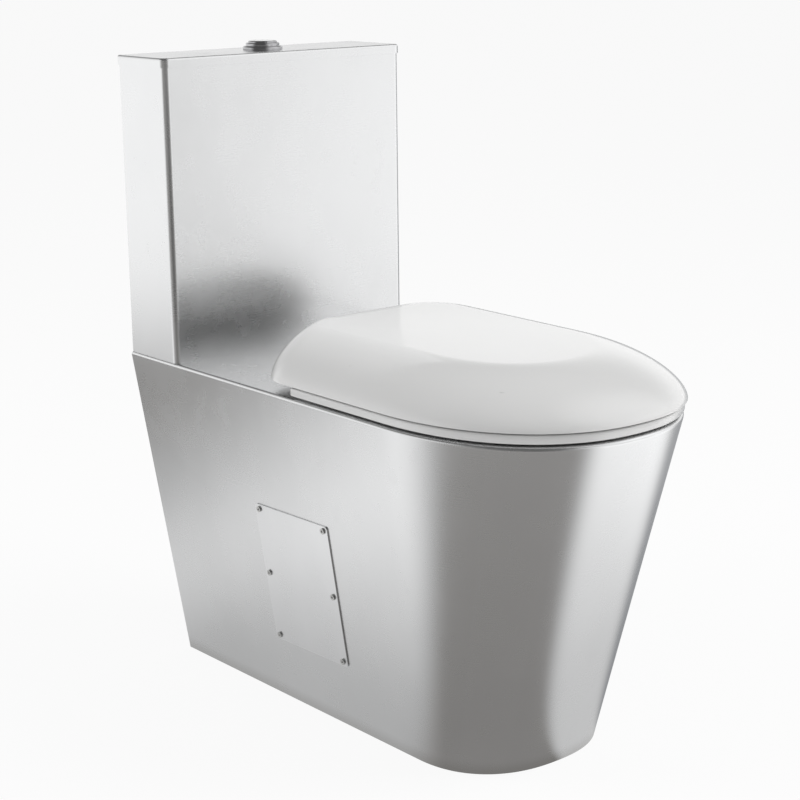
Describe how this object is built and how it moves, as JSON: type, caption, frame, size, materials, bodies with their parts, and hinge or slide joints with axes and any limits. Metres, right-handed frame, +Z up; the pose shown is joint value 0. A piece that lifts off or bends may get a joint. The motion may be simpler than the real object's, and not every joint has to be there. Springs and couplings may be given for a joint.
{
  "type": "close coupled stainless steel toilet",
  "caption": "Free-standing stainless steel toilet pan with a close coupled steel cistern, dual flush button, side access panels and a domed white plastic seat and lid.",
  "frame": {"origin": "centre of the bounding box on the floor", "axes": "+X to the right seen from the front, -Y to the front, +Y to the wall, +Z up"},
  "size_m": [0.3776, 0.743, 0.8215],
  "materials": {
    "brushed_steel": "satin brushed stainless steel sheet",
    "mill_steel": "plain rolled stainless steel, not polished",
    "seat_white": "moulded white plastic, glossy",
    "button_chrome": "polished chrome",
    "fastener_steel": "turned stainless steel",
    "valve_plastic": "moulded white plastic, matt",
    "valve_blue": "moulded blue plastic, matt",
    "rubber": "black rubber",
    "buffer_white": "soft white rubber",
    "spring_steel": "spring steel"
  },
  "bodies": {
    "pan_and_cistern": {"access_panel_left": "brushed_steel", "access_panel_right": "brushed_steel", "panel_frame_left": "mill_steel", "panel_frame_right": "mill_steel", "panel_screws_left": "fastener_steel", "panel_screws_right": "fastener_steel", "pan_shell": "brushed_steel", "pan_deck": "brushed_steel", "flushing_rim": "mill_steel", "bowl": "brushed_steel", "flush_duct": "mill_steel", "trap": "mill_steel", "outlet_spigot": "mill_steel", "base_flange": "mill_steel", "cistern_body": "brushed_steel", "cistern_bolts": "fastener_steel", "cistern_bolt_washers": "rubber", "cistern_bolt_plates": "fastener_steel", "cistern_wing_nuts": "fastener_steel", "flush_valve_base": "valve_plastic", "flush_valve_washer": "rubber", "flush_valve_backnut": "valve_plastic", "coupling_gasket": "rubber", "flush_valve_tower": "valve_plastic", "inlet_valve_body": "valve_plastic", "inlet_valve_washer": "rubber", "inlet_valve_backnut": "valve_plastic", "inlet_valve_head": "valve_blue", "inlet_valve_cap": "valve_plastic", "float_pin": "fastener_steel", "hinge_posts": "fastener_steel", "hinge_pins": "fastener_steel", "hinge_bolts": "fastener_steel", "hinge_bolt_washers": "rubber", "hinge_wing_nuts": "fastener_steel"},
    "seat": {"seat_ring": "seat_white", "seat_bushes": "valve_plastic", "seat_buffers": "buffer_white"},
    "lid": {"seat_lid": "seat_white", "lid_bushes": "valve_plastic", "lid_buffers": "buffer_white"},
    "flush_core": {"flush_valve_core": "valve_blue", "flush_valve_seal": "rubber"},
    "float": {"float_arm": "valve_plastic", "float_cup": "valve_blue"},
    "cistern_top": {"cistern_lid": "brushed_steel", "button_housing": "button_chrome", "button_locknut": "valve_plastic", "full_flush_spring": "spring_steel", "half_flush_spring": "spring_steel"},
    "full_button": {"full_flush_button": "button_chrome", "full_flush_rod": "valve_plastic"},
    "half_button": {"half_flush_button": "button_chrome", "half_flush_rod": "valve_plastic"}
  },
  "joints": [
    {"name": "seat_hinge", "type": "hinge", "parent": "pan_and_cistern", "child": "seat", "pos_m": [0, 0.0795, 0.46], "axis": [-1, 0, 0], "range_deg": [0, 105]},
    {"name": "lid_hinge", "type": "hinge", "parent": "seat", "child": "lid", "pos_m": [0, 0.0795, 0.46], "axis": [1, 0, 0], "range_deg": [-105, 0]},
    {"name": "full_flush_press", "type": "slide", "parent": "cistern_top", "child": "full_button", "axis": [0, 0, -1], "range_m": [0, 0.006], "stiffness_N_per_m": 300, "springref_m": -0.005, "deforming": ["full_flush_spring"]},
    {"name": "half_flush_press", "type": "slide", "parent": "cistern_top", "child": "half_button", "axis": [0, 0, -1], "range_m": [0, 0.006], "stiffness_N_per_m": 300, "springref_m": -0.005, "deforming": ["half_flush_spring"]},
    {"name": "cistern_lid_lift", "type": "slide", "parent": "pan_and_cistern", "child": "cistern_top", "axis": [0, 0, 1], "range_m": [0, 0.15]},
    {"name": "valve_lift", "type": "slide", "parent": "pan_and_cistern", "child": "flush_core", "axis": [0, 0, 1], "range_m": [0, 0.018]},
    {"name": "float_swing", "type": "hinge", "parent": "pan_and_cistern", "child": "float", "pos_m": [-0.13, 0.3165, 0.706], "axis": [0, 1, 0], "range_deg": [0, 12]}
  ],
  "couplings": [
    {"joint": "valve_lift", "follows": "full_flush_press", "ratio": 3}
  ]
}
